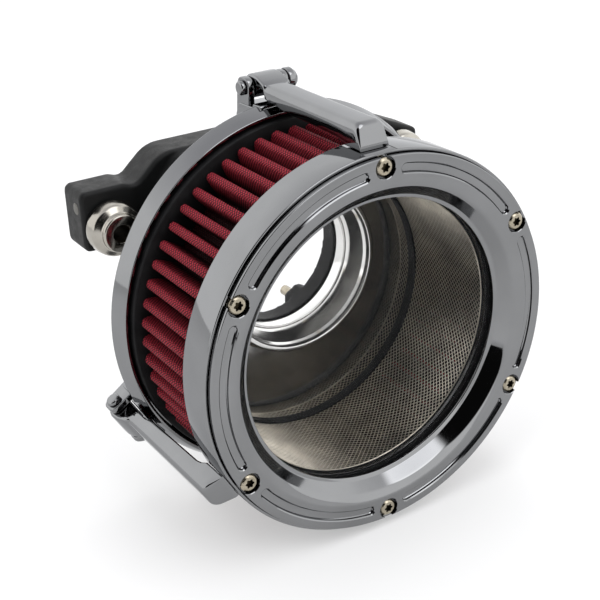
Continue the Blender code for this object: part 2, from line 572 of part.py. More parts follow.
outer_loop = pleat_loop(PLEAT_INNER + PLEAT_CLOTH, PLEAT_OUTER, 0.19, 0.10)
inner_loop = pleat_loop(PLEAT_INNER, PLEAT_OUTER - PLEAT_CLOTH, 0.06, 0.22)
cloth = bmesh.new()
rows = []
for loop in (outer_loop, inner_loop):
    for forward in (CAP_REAR_FRONT + GAP, CAP_FRONT_REAR - GAP):
        rows.append([cloth.verts.new((x, -forward, z)) for x, z in loop])
count = len(outer_loop)
for i in range(count):
    j = (i + 1) % count
    cloth.faces.new((rows[0][i], rows[0][j], rows[1][j], rows[1][i]))
    cloth.faces.new((rows[2][i], rows[3][i], rows[3][j], rows[2][j]))
    cloth.faces.new((rows[0][i], rows[2][i], rows[2][j], rows[0][j]))
    cloth.faces.new((rows[1][i], rows[1][j], rows[3][j], rows[3][i]))
bmesh.ops.recalc_face_normals(cloth, faces=cloth.faces)
gauze = bpy.data.meshes.new("filter_media")
cloth.to_mesh(gauze)
cloth.free()
media = place("filter_media", gauze, "red_gauze")
media.location = (FILTER_CENTRE[0], 0.0, FILTER_CENTRE[1])

# ---- Latch arms, hinge pins and nuts ----
SEAT_RADIUS = OUTER_RADIUS - 0.5 * MM
NOSE_TIP = backward(FRONT_FACE - 7.4 * MM)
HOOK_FRONT = backward(FRONT_FACE - 10.4 * MM)
HOOK_REAR = backward(FRONT_FACE - 13.6 * MM)
SEAT_END = backward(COVER_REAR - 0.5 * MM)
ARM_TOP = outward(OUTER_RADIUS + 10.4 * MM)
ARM_BOTTOM = outward(OUTER_RADIUS + 1.4 * MM)
SEAT_LEVEL = outward(SEAT_RADIUS + GAP)
HOOK_LEVEL = SEAT_LEVEL - 1.7 * MM
HEEL = backward(BACKPLATE_REAR) - 1.0 * MM
arm_outline = rounded([
    (NOSE_TIP, SEAT_LEVEL, 0.0), (HOOK_FRONT, SEAT_LEVEL, 0.0), (HOOK_FRONT, HOOK_LEVEL, 0.0),
    (HOOK_REAR, HOOK_LEVEL, 0.0), (HOOK_REAR, SEAT_LEVEL, 0.0), (SEAT_END, SEAT_LEVEL, 0.0),
    (SEAT_END + 4.0 * MM, ARM_BOTTOM, 3.0 * MM), (HEEL - 9.0 * MM, ARM_BOTTOM, 8.0 * MM),
    (HEEL, outward(RIM_REAR_RADIUS) + 0.7 * MM, 0.8 * MM),
    (HEEL, -0.5 * MM, 1.0 * MM), (0.0, -KNUCKLE_RADIUS - 0.2 * MM, 0.6 * MM),
    (KNUCKLE_RADIUS, -KNUCKLE_RADIUS, 4.6 * MM), (KNUCKLE_RADIUS, KNUCKLE_RADIUS, 4.6 * MM),
    (-2.0 * MM, KNUCKLE_RADIUS, 2.0 * MM), (HEEL - 5.0 * MM, ARM_TOP, 6.0 * MM),
    (backward(FRONT_FACE - 10.5 * MM), ARM_TOP, 4.0 * MM), (NOSE_TIP, SEAT_LEVEL + 2.0 * MM, 1.5 * MM),
])
pin_bore = [around(PIN_RADIUS + FIT, 360.0 / SMALL * step) for step in range(SMALL)]
for latch, frame in LATCH_FRAMES.items():
    arm = extruded("latch_arm_" + latch, arm_outline, -ARM_HALF_WIDTH, ARM_HALF_WIDTH, ACROSS, "chrome",
                   frame, [pin_bore])
    bevel(arm, 0.6 * MM)
    seat = box("cover_seat_" + latch,
               (2.0 * ARM_HALF_WIDTH + 1.4 * MM, COVER_DEPTH, 6.0 * MM),
               (0.0, NOSE_TIP - 0.8 * MM + COVER_DEPTH / 2.0, SEAT_LEVEL - GAP + 3.0 * MM), None, frame)
    boolean(cover, seat)
    pocket = box("hook_pocket_" + latch,
                 (2.0 * ARM_HALF_WIDTH + 1.0 * MM, HOOK_REAR - HOOK_FRONT + 1.6 * MM, 6.3 * MM),
                 (0.0, (HOOK_FRONT + HOOK_REAR) / 2.0, HOOK_LEVEL - GAP + 3.15 * MM), None, frame)
    boolean(cover, pocket)

HEAD_THICKNESS = 2.2 * MM
NUT_THICKNESS = 5.7 * MM
NUT_RADIUS = 5.0 * MM
PIN_HEAD_RADIUS = 3.2 * MM
PIN_HEAD_SIDES = {"top": -90.0, "lower_left": 90.0, "lower_right": -90.0}
for latch, frame in LATCH_FRAMES.items():
    for name, profile in (
        ("hinge_pin_", [
            (PIN_HEAD_RADIUS - 0.9 * MM, LUG_OUTER + GAP + HEAD_THICKNESS),
            (PIN_HEAD_RADIUS, LUG_OUTER + GAP + HEAD_THICKNESS - 0.9 * MM),
            (PIN_HEAD_RADIUS, LUG_OUTER + GAP),
            (PIN_RADIUS, LUG_OUTER + GAP), (PIN_RADIUS, -LUG_OUTER - 3.5 * MM), (0.0, -LUG_OUTER - 3.5 * MM),
            (0.0, LUG_OUTER + GAP + HEAD_THICKNESS),
        ]),
        ("hinge_nut_", [
            (PIN_RADIUS + FIT, -LUG_OUTER - GAP), (NUT_RADIUS - 0.5 * MM, -LUG_OUTER - GAP),
            (NUT_RADIUS, -LUG_OUTER - GAP - 0.5 * MM), (NUT_RADIUS, -LUG_OUTER - GAP - 2.6 * MM),
            (NUT_RADIUS - 1.4 * MM, -LUG_OUTER - GAP - NUT_THICKNESS + 1.0 * MM),
            (NUT_RADIUS - 3.0 * MM, -LUG_OUTER - GAP - NUT_THICKNESS),
            (0.0, -LUG_OUTER - GAP - NUT_THICKNESS), (0.0, -LUG_OUTER - 3.8 * MM),
            (PIN_RADIUS + FIT, -LUG_OUTER - 3.8 * MM),
        ]),
    ):
        piece = turned(name + latch, profile, 16, "chrome")
        piece.parent = frame
        piece.rotation_euler = (0.0, 0.0, math.radians(PIN_HEAD_SIDES[latch]))
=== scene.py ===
import math

import bmesh
import bpy
from mathutils import Matrix, Vector


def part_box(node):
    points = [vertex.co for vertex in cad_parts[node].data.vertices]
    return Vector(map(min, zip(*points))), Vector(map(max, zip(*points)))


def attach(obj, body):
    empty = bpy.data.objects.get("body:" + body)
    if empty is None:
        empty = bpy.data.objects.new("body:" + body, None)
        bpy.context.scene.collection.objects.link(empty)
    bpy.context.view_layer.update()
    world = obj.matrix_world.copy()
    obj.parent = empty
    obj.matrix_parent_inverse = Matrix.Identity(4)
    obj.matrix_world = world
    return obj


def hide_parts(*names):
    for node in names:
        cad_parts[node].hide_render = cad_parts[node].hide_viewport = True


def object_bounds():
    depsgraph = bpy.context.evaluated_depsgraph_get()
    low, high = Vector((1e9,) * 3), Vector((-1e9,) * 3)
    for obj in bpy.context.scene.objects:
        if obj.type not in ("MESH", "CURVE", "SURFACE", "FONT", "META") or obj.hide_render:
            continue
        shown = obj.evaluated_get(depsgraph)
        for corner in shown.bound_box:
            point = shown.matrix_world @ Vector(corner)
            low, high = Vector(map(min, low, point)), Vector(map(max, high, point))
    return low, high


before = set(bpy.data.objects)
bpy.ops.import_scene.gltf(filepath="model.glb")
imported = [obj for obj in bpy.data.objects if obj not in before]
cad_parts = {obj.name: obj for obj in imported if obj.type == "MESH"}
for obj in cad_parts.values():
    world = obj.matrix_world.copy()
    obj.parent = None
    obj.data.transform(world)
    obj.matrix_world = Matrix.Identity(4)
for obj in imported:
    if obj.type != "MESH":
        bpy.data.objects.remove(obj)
cad_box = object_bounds()

# ---- Studio: camera, pale floor and soft boxes ----
# The filter stands on a lit pale table in a white tent with one bright window and one dark
# opening for the plated pieces to mirror. Two soft boxes light the matt pieces only.
camera_right = Vector((0.84099, -0.53976, -0.03728))
camera_up = Vector((0.26091, 0.34423, 0.90191))
camera_back = Vector((-0.47398, -0.76822, 0.43032))
camera_place = Vector((-0.27296, -0.48901, 0.23192))
turn = Matrix((camera_right, camera_up, camera_back)).transposed().to_4x4()
camera_data = bpy.data.cameras.new("camera")
camera_data.sensor_width = 36.0
camera_data.lens = 75.92
camera = bpy.data.objects.new("camera", camera_data)
camera.matrix_world = Matrix.Translation(camera_place) @ turn
bpy.context.scene.collection.objects.link(camera)
bpy.context.scene.camera = camera
bpy.context.scene.view_settings.view_transform = "Standard"


def new_finish(name, metallic, roughness):
    """An empty finish: its material and its shader."""
    finish = bpy.data.materials.new(name)
    finish.use_nodes = True
    shader = finish.node_tree.nodes["Principled BSDF"]
    shader.inputs["Metallic"].default_value = metallic
    shader.inputs["Roughness"].default_value = roughness
    return finish, shader


def node(finish, kind, **settings):
    """Add one shader node; settings name its properties or its input sockets."""
    made = finish.node_tree.nodes.new("ShaderNode" + kind)
    for key, value in settings.items():
        if hasattr(made, key):
            setattr(made, key, value)
        else:
            made.inputs[key.replace("_", " ")].default_value = value
    return made


def join(finish, source, target):
    finish.node_tree.links.new(source, target)


def mottled(finish, shader, scale, dark, light):
    """Drift the colour between two shades in soft patches, scale patches to the metre."""
    where = node(finish, "TexCoord")
    clouds = node(finish, "TexNoise", Scale=scale, Detail=5.0)
    blend = node(finish, "ValToRGB")
    blend.color_ramp.elements[0].position = 0.3
    blend.color_ramp.elements[0].color = (*dark, 1.0)
    blend.color_ramp.elements[1].position = 0.7
    blend.color_ramp.elements[1].color = (*light, 1.0)
    join(finish, where.outputs["Object"], clouds.inputs["Vector"])
    join(finish, clouds.outputs["Fac"], blend.inputs["Fac"])
    join(finish, blend.outputs["Color"], shader.inputs["Base Color"])


def smudged(finish, shader, scale, least, most):
    """Vary the roughness between two values, as handling and polishing leave it."""
    where = node(finish, "TexCoord")
    clouds = node(finish, "TexNoise", Scale=scale, Detail=6.0, Roughness=0.65)
    spread = node(finish, "MapRange")
    spread.inputs["From Min"].default_value = 0.3
    spread.inputs["From Max"].default_value = 0.7
    spread.inputs["To Min"].default_value = least
    spread.inputs["To Max"].default_value = most
    join(finish, where.outputs["Object"], clouds.inputs["Vector"])
    join(finish, clouds.outputs["Fac"], spread.inputs["Value"])
    join(finish, spread.outputs["Result"], shader.inputs["Roughness"])


def grained(finish, shader, scale, depth, detail=3.0):
    """Raise a fine grain of the given depth in metres."""
    where = node(finish, "TexCoord")
    grain = node(finish, "TexNoise", Scale=scale, Detail=detail)
    raised = node(finish, "Bump", Strength=1.0, Distance=depth)
    join(finish, where.outputs["Object"], grain.inputs["Vector"])
    join(finish, grain.outputs["Fac"], raised.inputs["Height"])
    join(finish, raised.outputs["Normal"], shader.inputs["Normal"])


table_paint, table_shader = new_finish("table_paint", 0.0, 0.8)
mottled(table_paint, table_shader, 2.0, (0.44, 0.44, 0.44), (0.46, 0.46, 0.46))
table_shader.inputs["Specular IOR Level"].default_value = 0.1
table_shader.inputs["Emission Color"].default_value = (1.0, 1.0, 1.0, 1.0)
table_shader.inputs["Emission Strength"].default_value = 0.36
floor_shape = bmesh.new()
bmesh.ops.create_grid(floor_shape, x_segments=8, y_segments=8, size=6.0)
bmesh.ops.translate(floor_shape, verts=floor_shape.verts, vec=(0.0, 0.0, cad_box[0].z - 0.0002))
floor_mesh = bpy.data.meshes.new("table")
floor_shape.to_mesh(floor_mesh)
floor_shape.free()
floor_mesh.materials.append(table_paint)
table = bpy.data.objects.new("table", floor_mesh)
bpy.context.scene.collection.objects.link(table)

tent = bpy.data.worlds.new("tent")
tent.use_nodes = True
bpy.context.scene.world = tent
direction = tent.node_tree.nodes.new("ShaderNodeTexCoord")
height = tent.node_tree.nodes.new("ShaderNodeSeparateXYZ")
shade = tent.node_tree.nodes.new("ShaderNodeValToRGB")
shade.color_ramp.elements[0].position = 0.0
shade.color_ramp.elements[0].color = (1.0, 1.0, 1.0, 1.0)
shade.color_ramp.elements[1].position = 0.95
shade.color_ramp.elements[1].color = (0.55, 0.55, 0.57, 1.0)
middle = shade.color_ramp.elements.new(0.55)
middle.color = (1.0, 1.0, 1.0, 1.0)
opening = tent.node_tree.nodes.new("ShaderNodeVectorMath")
opening.operation = "DOT_PRODUCT"
opening.inputs[1].default_value = (-0.66, -0.64, 0.40)
gap = tent.node_tree.nodes.new("ShaderNodeMapRange")
gap.interpolation_type = "SMOOTHSTEP"
gap.inputs["From Min"].default_value = 0.79
gap.inputs["From Max"].default_value = 0.85
gap.inputs["To Min"].default_value = 1.7
gap.inputs["To Max"].default_value = 0.01
window = tent.node_tree.nodes.new("ShaderNodeVectorMath")
window.operation = "DOT_PRODUCT"
window.inputs[1].default_value = (0.14, -0.51, 0.85)
glow = tent.node_tree.nodes.new("ShaderNodeMapRange")
glow.interpolation_type = "SMOOTHSTEP"
glow.inputs["From Min"].default_value = 0.93
glow.inputs["From Max"].default_value = 0.965
glow.inputs["To Min"].default_value = 0.0
glow.inputs["To Max"].default_value = 3.0
strength = tent.node_tree.nodes.new("ShaderNodeMath")
strength.operation = "ADD"
tent_light = tent.node_tree.nodes["Background"]
tent.node_tree.links.new(direction.outputs["Generated"], height.inputs["Vector"])
tent.node_tree.links.new(direction.outputs["Generated"], opening.inputs[0])
tent.node_tree.links.new(opening.outputs["Value"], gap.inputs["Value"])
tent.node_tree.links.new(height.outputs["Z"], shade.inputs["Fac"])
tent.node_tree.links.new(shade.outputs["Color"], tent_light.inputs["Color"])
tent.node_tree.links.new(direction.outputs["Generated"], window.inputs[0])
tent.node_tree.links.new(window.outputs["Value"], glow.inputs["Value"])
tent.node_tree.links.new(gap.outputs["Result"], strength.inputs[0])
tent.node_tree.links.new(glow.outputs["Result"], strength.inputs[1])
tent.node_tree.links.new(strength.outputs["Value"], tent_light.inputs["Strength"])


def soft_box(name, place, width, depth, power):
    """A soft box at a place, facing the middle of the filter, that chrome doesn't mirror."""
    data = bpy.data.lights.new(name, "AREA")
    data.shape = "RECTANGLE"
    data.size = width
    data.size_y = depth
    data.energy = power
    lamp = bpy.data.objects.new(name, data)
    lamp.location = place
    lamp.visible_glossy = False
    aim = Vector((0.0, -0.06, 0.0)) - Vector(place)
    lamp.rotation_euler = aim.to_track_quat("-Z", "Y").to_euler()
    bpy.context.scene.collection.objects.link(lamp)


soft_box("key_box", (-1.0, -0.5, 0.9), 0.6, 0.8, 9.0)
soft_box("top_box", (0.4, 0.3, 1.3), 1.0, 0.5, 6.0)

# ---- Front cover: the outer ring ----
# A machined ring, chrome plated. It carries the lens and the face ring in front, clamps the
# filter element behind, and has a flat seat on its rim for each latch.
MM = 0.001
LATCHES = {"top": 90.0, "lower_left": 210.0, "lower_right": 330.0}
cover_low, cover_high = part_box("bezel_ring")
axis_x = (cover_low.x + cover_high.x) / 2.0
axis_z = (cover_low.z + cover_high.z) / 2.0
filter_axis = Vector((axis_x, 0.0, axis_z))
throat_axis = Vector((0.0, 0.0, 0.0))


def ring_of(name):
    """Rear and front of a round CAD piece along the axis, and its outer radius, in mm."""
    low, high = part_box(name)
    return -high.y / MM, -low.y / MM, (high.x - low.x) / 2.0 / MM


def rounded(corners, steps=4):
    """Round each (x, y, radius) corner of an outline with short steps."""
    points = []
    for i, (x, y, radius) in enumerate(corners):
        before = Vector(corners[i - 1][:2]) - Vector((x, y))
        after = Vector(corners[(i + 1) % len(corners)][:2]) - Vector((x, y))
        if radius <= 0.0:
            points.append((x, y))
            continue
        half = before.angle(after) / 2.0
        reach = min(radius / math.tan(half), 0.49 * before.length, 0.49 * after.length)
        radius = reach * math.tan(half)
        middle_way = (before.normalized() + after.normalized()).normalized()
        centre = Vector((x, y)) + middle_way * radius / math.sin(half)
        first = Vector((x, y)) + before.normalized() * reach - centre
        last = Vector((x, y)) + after.normalized() * reach - centre
        sweep = math.atan2(first.x * last.y - first.y * last.x, first.dot(last))
        for step in range(steps + 1):
            arm = Matrix.Rotation(sweep * step / steps, 2) @ first
            points.append((centre.x + arm.x, centre.y + arm.y))
    return points


def spun(profile, centre, steps=180, closed=True):
    """Turn a (radius, forward) outline in mm about the front-to-back axis through centre."""
    shape = bmesh.new()
    corners = [shape.verts.new((centre.x + radius * MM, -forward * MM, centre.z))
               for radius, forward in profile]
    first = 0 if closed else 1
    edges = [shape.edges.new((corners[i - 1], corners[i])) for i in range(first, len(corners))]
    bmesh.ops.spin(shape, geom=corners + edges, cent=centre, axis=(0.0, 1.0, 0.0),
                   steps=steps, angle=2.0 * math.pi, use_merge=True)
    bmesh.ops.remove_doubles(shape, verts=shape.verts, dist=0.002 * MM)
    bmesh.ops.recalc_face_normals(shape, faces=shape.faces)
    return shape


def prism(outline, low, high):
    """Stand a flat outline in mm up from low to high along Z."""
    shape = bmesh.new()
    corners = [shape.verts.new((x * MM, y * MM, low * MM)) for x, y in outline]
    base = shape.faces.new(corners)
    grown = bmesh.ops.extrude_face_region(shape, geom=[base])["geom"]
    moved = [part for part in grown if isinstance(part, bmesh.types.BMVert)]
    bmesh.ops.translate(shape, verts=moved, vec=(0.0, 0.0, (high - low) * MM))
    bmesh.ops.recalc_face_normals(shape, faces=shape.faces)
    return shape


def as_object(name, shape):
    """Link a bmesh as an object and free it."""
    mesh = bpy.data.meshes.new(name)
    shape.to_mesh(mesh)
    shape.free()
    made = bpy.data.objects.new(name, mesh)
    bpy.context.scene.collection.objects.link(made)
    return made


def settled(made):
    """Apply an object's modifiers, remove the object and give back its bmesh."""
    bpy.context.view_layer.update()
    graph = bpy.context.evaluated_depsgraph_get()
    mesh = bpy.data.meshes.new_from_object(made.evaluated_get(graph))
    bpy.data.objects.remove(made, do_unlink=True)
    shape = bmesh.new()
    shape.from_mesh(mesh)
    bpy.data.meshes.remove(mesh)
    return shape


def carved(shape, tool, operation="DIFFERENCE"):
    """Cut one closed shape out of another, or join them."""
    blank = as_object("blank", shape)
    cutter = as_object("cutter", tool)
    cut = blank.modifiers.new("cut", "BOOLEAN")
    cut.operation = operation
    cut.solver = "EXACT"
    cut.object = cutter
    result = settled(blank)
    bpy.data.objects.remove(cutter, do_unlink=True)
    return result


def added(shape, other):
    """Lay another closed shape into this one."""
    mesh = bpy.data.meshes.new("added")
    other.to_mesh(mesh)
    other.free()
    shape.from_mesh(mesh)
    bpy.data.meshes.remove(mesh)
    return shape


def finished(name, shape, finish, body, slot, *nodes, crease=35.0):
    """Make a shape the visible piece that stands for its CAD nodes."""
    piece = as_object(name, shape)
    piece.data.materials.append(finish)
    piece.data.shade_smooth()
    piece.data.set_sharp_from_angle(angle=math.radians(crease))
    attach(piece, body)
    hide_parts(*nodes)
    return piece


def latch_place(latch):
    """Turn and place from a latch's own frame: x across, y backward from the pin, z outward."""
    low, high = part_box("hinge_pin_" + latch)
    angle = math.radians(LATCHES[latch])
    middle_y = (low.y + high.y) / 2.0
    reach = PIN_RING * MM
    pin = Vector((axis_x + reach * math.cos(angle), middle_y, axis_z + reach * math.sin(angle)))
    return Matrix.Translation(pin) @ Matrix.Rotation(math.pi / 2.0 - angle, 4, "Y")


# An outline drawn as (backward, outward) and stood up across a latch.
ACROSS = Matrix(((0, 0, 1, 0), (1, 0, 0, 0), (0, 1, 0, 0), (0, 0, 0, 1)))
PIN_RING = 93.0
pin_forward = (ring_of("hinge_pin_top")[0] + ring_of("hinge_pin_top")[1]) / 2.0

chrome, chrome_shader = new_finish("polished_chrome", 1.0, 0.05)
mottled(chrome, chrome_shader, 35.0, (0.205, 0.208, 0.212), (0.232, 0.235, 0.24))
smudged(chrome, chrome_shader, 90.0, 0.03, 0.09)
chrome_shader.inputs["Specular Tint"].default_value = (0.70, 0.705, 0.715, 1.0)
grained(chrome, chrome_shader, 45.0, 0.00003, 1.0)

cover_rear, cover_front, cover_radius = ring_of("front_cover")
bezel_rear, bezel_front, bezel_radius = ring_of("bezel_ring")
lens_rear, lens_front, lens_radius = ring_of("lens")
gasket_rear = ring_of("lens_gasket")[0]
cap_front, cap_radius = ring_of("filter_cap_front")[1:]
SEAM = 0.3
cover_shape = spun(rounded([
    (cover_radius, cover_front, 0.6), (cover_radius, cover_rear, 0.8),
    (cap_radius + SEAM, cover_rear, 0.4), (cap_radius + SEAM, cap_front + SEAM, 0.2),
    (lens_radius - 2.0, cap_front + SEAM, 0.3), (lens_radius - 2.0, gasket_rear - SEAM, 0.1),
    (lens_radius + 1.6, gasket_rear - SEAM, 0.1), (lens_radius + 1.6, lens_front, 0.1),
    (bezel_radius + SEAM, lens_front, 0.1), (bezel_radius + SEAM, cover_front, 0.25),
]), filter_axis)
SEAT_HALF_WIDTH = 7.45
SEAT_RING = cover_radius - 0.5
HOOK_HALF_LENGTH = 2.4
HOOK_MIDDLE = bezel_front - 12.0
HOOK_DEPTH = 1.7
for latch in LATCHES:
    seat_back = pin_forward - cover_rear + 2.0
    seat_front = pin_forward - bezel_front - 2.0
    seat = prism([(seat_front, SEAT_RING - PIN_RING), (seat_back, SEAT_RING - PIN_RING),
                  (seat_back, 0.0), (seat_front, 0.0)], -SEAT_HALF_WIDTH, SEAT_HALF_WIDTH)
    hook_way = pin_forward - HOOK_MIDDLE
    pocket = prism([(hook_way - HOOK_HALF_LENGTH, SEAT_RING - PIN_RING - HOOK_DEPTH),
                    (hook_way + HOOK_HALF_LENGTH, SEAT_RING - PIN_RING - HOOK_DEPTH),
                    (hook_way + HOOK_HALF_LENGTH, 0.5), (hook_way - HOOK_HALF_LENGTH, 0.5)],
                   -SEAT_HALF_WIDTH + 0.2, SEAT_HALF_WIDTH - 0.2)
    for tool in (seat, pocket):
        bmesh.ops.transform(tool, matrix=latch_place(latch) @ ACROSS, verts=tool.verts)
        cover_shape = carved(cover_shape, tool)
finished("cover_ring", cover_shape, chrome, "housing", "chrome", "front_cover")

# ---- Lens and its gasket ----
# A flat disc of clear plastic, pressed against a rubber ring by the face ring.
lens_plastic, lens_shader = new_finish("lens_plastic", 0.0, 0.03)
mottled(lens_plastic, lens_shader, 20.0, (0.04, 0.042, 0.045), (0.06, 0.062, 0.065))
lens_facing = node(lens_plastic, "LayerWeight", Blend=0.25)
lens_cover = node(lens_plastic, "MapRange")
lens_cover.inputs["To Min"].default_value = 0.03
lens_cover.inputs["To Max"].default_value = 0.30
join(lens_plastic, lens_facing.outputs["Fresnel"], lens_cover.inputs["Value"])
join(lens_plastic, lens_cover.outputs["Result"], lens_shader.inputs["Alpha"])
smudged(lens_plastic, lens_shader, 60.0, 0.02, 0.06)
lens_shape = spun(rounded([
    (0.0, lens_rear, 0.0), (lens_radius, lens_rear, 0.3), (lens_radius, lens_front, 0.3),
    (0.0, lens_front, 0.0),
]), filter_axis, closed=False)
finished("lens_disc", lens_shape, lens_plastic, "housing", "clear_lens", "lens")

rubber, rubber_shader = new_finish("black_rubber", 0.0, 0.6)
rubber_shader.inputs["Specular IOR Level"].default_value = 0.15
mottled(rubber, rubber_shader, 150.0, (0.004, 0.004, 0.0045), (0.009, 0.009, 0.0095))
smudged(rubber, rubber_shader, 300.0, 0.45, 0.75)
grained(rubber, rubber_shader, 1500.0, 0.00006)


def rubber_ring(name, source, inner, centre, slot="black_rubber", finish=rubber, edge=0.4):
    """A plain ring with rounded edges in the place of a CAD ring."""
    rear, front, outer = ring_of(source)
    shape = spun(rounded([
        (outer, front, edge), (outer, rear, edge), (inner, rear, edge), (inner, front, edge),
    ]), centre)
    return finished(name, shape, finish, "housing", slot, source)


rubber_ring("gasket_ring", "lens_gasket", lens_radius - 1.8, filter_axis)

# ---- Face ring ----
# The chromed ring in front, dished down to the lens. Six flutes are milled between six
# counterbored screw holes, and every flute has a chamfered border.
DISH_EDGE = 72.5
SIGHT_RADIUS = lens_radius - 3.0
SCREW_CIRCLE = 79.1
SCREW_COUNT = 6
FLUTE_CIRCLE = 77.4
FLUTE_CLEAR = math.radians(7.2)
COUNTERBORE = 4.7
head_front = ring_of("bezel_screw_1")[1]


def around(radius, angle, centre):
    """A point in mm on a ring about an axis, as (x, z)."""
    return (centre.x / MM + radius * math.cos(angle), centre.z / MM + radius * math.sin(angle))


def bent_slot(half_width, start, end, forward):
    """One loop of a slot bent round the filter's axis, at a forward distance."""
    loop = []
    steps = 24
    for step in range(steps + 1):
        loop.append(around(FLUTE_CIRCLE + half_width, start + (end - start) * step / steps, filter_axis))
    for step in range(1, 8):
        swing = end + math.pi * step / 8
        x, z = around(FLUTE_CIRCLE, end, filter_axis)
        loop.append((x + half_width * math.cos(swing), z + half_width * math.sin(swing)))
    for step in range(steps + 1):
        loop.append(around(FLUTE_CIRCLE - half_width, end + (start - end) * step / steps, filter_axis))
    for step in range(1, 8):
        swing = start + math.pi + math.pi * step / 8
        x, z = around(FLUTE_CIRCLE, start, filter_axis)
        loop.append((x + half_width * math.cos(swing), z + half_width * math.sin(swing)))
    return [Vector((x * MM, -forward * MM, z * MM)) for x, z in loop]


def lofted(loops):
    """Skin a row of loops that have the same number of points, and cap both ends."""
    shape = bmesh.new()
    rows = [[shape.verts.new(point) for point in loop] for loop in loops]
    hoops = []
    for row in rows:
        hoops.append([shape.edges.new((row[i - 1], row[i])) for i in range(len(row))])
    for near, far in zip(hoops, hoops[1:]):
        bmesh.ops.bridge_loops(shape, edges=near + far)
    shape.faces.new(rows[0])
    shape.faces.new(rows[-1])
    bmesh.ops.recalc_face_normals(shape, faces=shape.faces)
    return shape


bezel_shape = spun(rounded([
    (bezel_radius, bezel_front, 0.5), (bezel_radius, bezel_rear, 0.2), (SIGHT_RADIUS, bezel_rear, 0.2),
    (SIGHT_RADIUS, bezel_rear + 0.9, 0.3), (SIGHT_RADIUS + 1.6, bezel_rear + 1.5, 1.5),
    (SIGHT_RADIUS + 6.2, bezel_front - 1.3, 6.0), (DISH_EDGE, bezel_front, 4.0),
], 6), filter_axis, 240)
for number in range(SCREW_COUNT):
    screw_angle = math.radians(30.0 + 60.0 * number)
    start = screw_angle + FLUTE_CLEAR
    end = screw_angle + math.radians(60.0) - FLUTE_CLEAR
    flute = lofted([bent_slot(half, start, end, bezel_front - depth) for half, depth in (
        (1.0, 1.7), (1.5, 1.6), (1.8, 1.25), (1.95, 0.4), (2.4, 0.0), (2.7, -0.6))])
    bezel_shape = carved(bezel_shape, flute)
    x, z = around(SCREW_CIRCLE, screw_angle, filter_axis)
    screw_axis = Vector((x * MM, 0.0, z * MM))
    counterbore = spun([(0.0, head_front - 3.0), (COUNTERBORE, head_front - 3.0),
                        (COUNTERBORE, bezel_front - 0.25), (COUNTERBORE + 0.75, bezel_front + 0.5),
                        (0.0, bezel_front + 0.5)], screw_axis, 40, closed=False)
    bezel_shape = carved(bezel_shape, counterbore)
finished("face_ring", bezel_shape, chrome, "housing", "chrome", "bezel_ring", crease=28.0)

# ---- Face screws ----
# Six steel screws with low heads and six-lobed driver recesses.
screw_steel, screw_shader = new_finish("screw_steel", 1.0, 0.25)
mottled(screw_steel, screw_shader, 400.0, (0.30, 0.265, 0.20), (0.42, 0.38, 0.30))
smudged(screw_steel, screw_shader, 700.0, 0.16, 0.38)
grained(screw_steel, screw_shader, 1800.0, 0.00002)


# Near-black brown steel for the faces deep in the screw recesses and the bolt bores: painted shade, darkening
# these hollows as if they lay in shadow.
recess_painted_shade, recess_painted_shade_shader = new_finish("recess_painted_shade", 1.0, 0.5)
mottled(recess_painted_shade, recess_painted_shade_shader, 900.0, (0.03, 0.025, 0.015), (0.10, 0.08, 0.05))
smudged(recess_painted_shade, recess_painted_shade_shader, 900.0, 0.4, 0.6)


def six_lobed(radius, depth_from, depth_to, centre):
    """The driver recess: a prism with six round lobes along the screw's axis."""
    outline = []
    for step in range(72):
        angle = 2.0 * math.pi * step / 72
        reach = radius * (1.0 + 0.17 * math.cos(6.0 * angle))
        outline.append((centre.x / MM + reach * math.cos(angle), centre.z / MM + reach * math.sin(angle)))
    shape = prism(outline, depth_from, depth_to)
    bmesh.ops.transform(shape, matrix=Matrix.Rotation(math.radians(90.0), 4, "X"), verts=shape.verts)
    return shape


for number in range(SCREW_COUNT):
    name = "bezel_screw_%d" % (number + 1)
    rear, front, radius = ring_of(name)
    low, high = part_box(name)
    screw_axis = Vector(((low.x + high.x) / 2.0, 0.0, (low.z + high.z) / 2.0))
    shape = spun(rounded([
        (0.0, rear, 0.0), (2.0, rear, 0.4), (2.0, front - 2.4, 0.1), (radius, front - 2.4, 0.1),
        (radius, front - 0.9, 0.5), (radius - 0.9, front, 0.5), (0.0, front, 0.0),
    ], 3), screw_axis, 48, closed=False)
    shape = carved(shape, six_lobed(1.8, front - 1.9, front + 1.0, screw_axis))
    # Faces down in the driver recess take the second finish, which is painted shade.
    for face in shape.faces:
        spot = face.calc_center_median()
        inside = (spot - screw_axis).xz.length < 2.2 * MM
        below_face = (front - 2.2) * MM < -spot.y < (front - 0.05) * MM
        face.material_index = 1 if inside and below_face else 0
    screw = finished("face_screw_%d" % (number + 1), shape, screw_steel, "housing", "screw_steel", name,
                     crease=30.0)
    screw.data.materials.append(recess_painted_shade)

# ---- Filter element: pleated gauze ----
# Red oiled cotton gauze with a fine wire backing, folded into 56 round pleats. Its ends are
# cast into the two rubber caps.
PLEAT_COUNT = 56
media_rear, media_front, media_radius = ring_of("filter_media")
PLEAT_DEPTH = 13.0
gauze_red, gauze_shader = new_finish("oiled_gauze", 0.0, 0.7)
gauze_uv = node(gauze_red, "UVMap", uv_map="weave")
weave_place = node(gauze_red, "Mapping")
weave_place.inputs["Rotation"].default_value = (0.0, 0.0, math.radians(45.0))
threads = [node(gauze_red, "TexWave", bands_direction=way, Scale=260.0, Distortion=0.6, Detail=1.0)
           for way in ("X", "Y")]
weave = node(gauze_red, "Math", operation="MULTIPLY")
join(gauze_red, gauze_uv.outputs["UV"], weave_place.inputs["Vector"])
for thread in threads:
    join(gauze_red, weave_place.outputs["Vector"], thread.inputs["Vector"])
join(gauze_red, threads[0].outputs["Fac"], weave.inputs[0])
join(gauze_red, threads[1].outputs["Fac"], weave.inputs[1])
gauze_tone = node(gauze_red, "ValToRGB")
gauze_tone.color_ramp.elements[0].position = 0.05
gauze_tone.color_ramp.elements[0].color = (0.030, 0.002, 0.004, 1.0)
